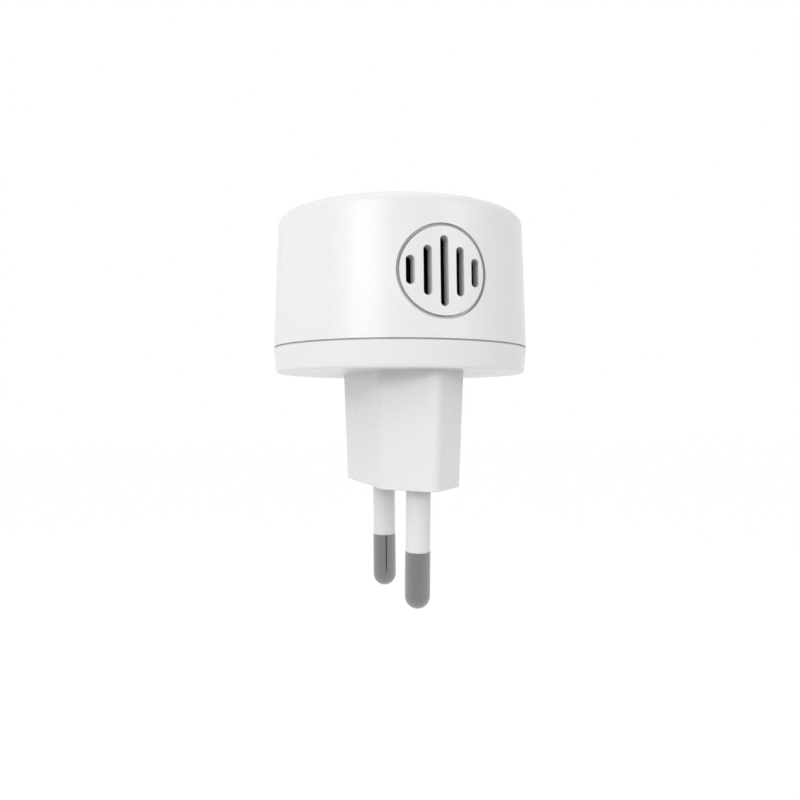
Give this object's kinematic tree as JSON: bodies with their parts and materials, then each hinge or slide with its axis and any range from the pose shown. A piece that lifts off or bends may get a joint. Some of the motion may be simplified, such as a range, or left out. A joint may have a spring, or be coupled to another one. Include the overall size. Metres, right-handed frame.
{
  "type": "ultrasonic pest repeller",
  "caption": "Round white plug-in ultrasonic pest repeller: drafted drum housing with a round slotted grille in its wall, on a tapered two-pin Euro plug.",
  "frame": {"origin": "centre of the plug's end face, which meets the socket", "axes": "+Z away from the wall along the drum's axis, the pins side by side along Y and pointing to -Z, the grille facing -Y"},
  "size_m": [0.042, 0.042, 0.0627],
  "materials": {
    "housing_white": "moulded white plastic with a soft gloss",
    "grille_white": "moulded white plastic with a soft gloss",
    "sleeve_white": "satin white insulation",
    "pin_nickel": "polished nickel plate",
    "cloth_black": "fine black acoustic weave",
    "transducer_aluminium": "drawn satin aluminium",
    "screen_steel": "perforated sheet",
    "piezo_ceramic": "fired ceramic with a silvered face",
    "black_moulding": "black moulding compound",
    "holder_rubber": "soft black rubber",
    "tinned_metal": "tinned wire",
    "board_laminate": "paper laminate",
    "screw_steel": "zinc plated",
    "lead_brown": "brown insulation",
    "lead_blue": "blue insulation",
    "lead_red": "red insulation",
    "retainer_grey": "grey moulding",
    "film_yellow": "yellow box with a filled base",
    "film_red": "dipped film",
    "can_sleeve": "shrunk sleeve",
    "varistor_blue": "dipped coating",
    "resistor_green": "cement coating",
    "diode_orange": "glass body",
    "ferrite_grey": "sintered ferrite",
    "winding_copper": "enamelled copper wire",
    "small_part_tan": "ceramic chip parts",
    "lamp_green": "tinted resin",
    "guide_clear": "clear polished rod"
  },
  "bodies": {
    "root": {"housing_cover": "housing_white", "base_shell": "housing_white", "grille_insert": "grille_white", "live_pin": "pin_nickel", "neutral_pin": "pin_nickel", "live_pin_sleeve": "sleeve_white", "neutral_pin_sleeve": "sleeve_white", "dust_cloth": "cloth_black", "transducer_case": "transducer_aluminium", "transducer_screen": "screen_steel", "transducer_cone": "transducer_aluminium", "piezo_disc": "piezo_ceramic", "transducer_base": "black_moulding", "transducer_terminals": "tinned_metal", "transducer_holder": "holder_rubber", "transducer_leads": "lead_red", "main_board": "board_laminate", "board_screws": "screw_steel", "retainer_screws": "screw_steel", "live_lead": "lead_brown", "neutral_lead": "lead_blue", "pin_retainer": "retainer_grey", "fusible_resistor": "resistor_green", "varistor": "varistor_blue", "dropper_capacitor": "film_yellow", "output_capacitor": "film_red", "bulk_capacitor": "can_sleeve", "bridge_rectifier": "black_moulding", "zener_diode": "diode_orange", "controller_chip": "black_moulding", "driver_transistors": "black_moulding", "coil_core": "ferrite_grey", "coil_winding": "winding_copper", "chip_parts": "small_part_tan", "indicator_led": "lamp_green", "light_guide": "guide_clear"}
  },
  "joints": []
}
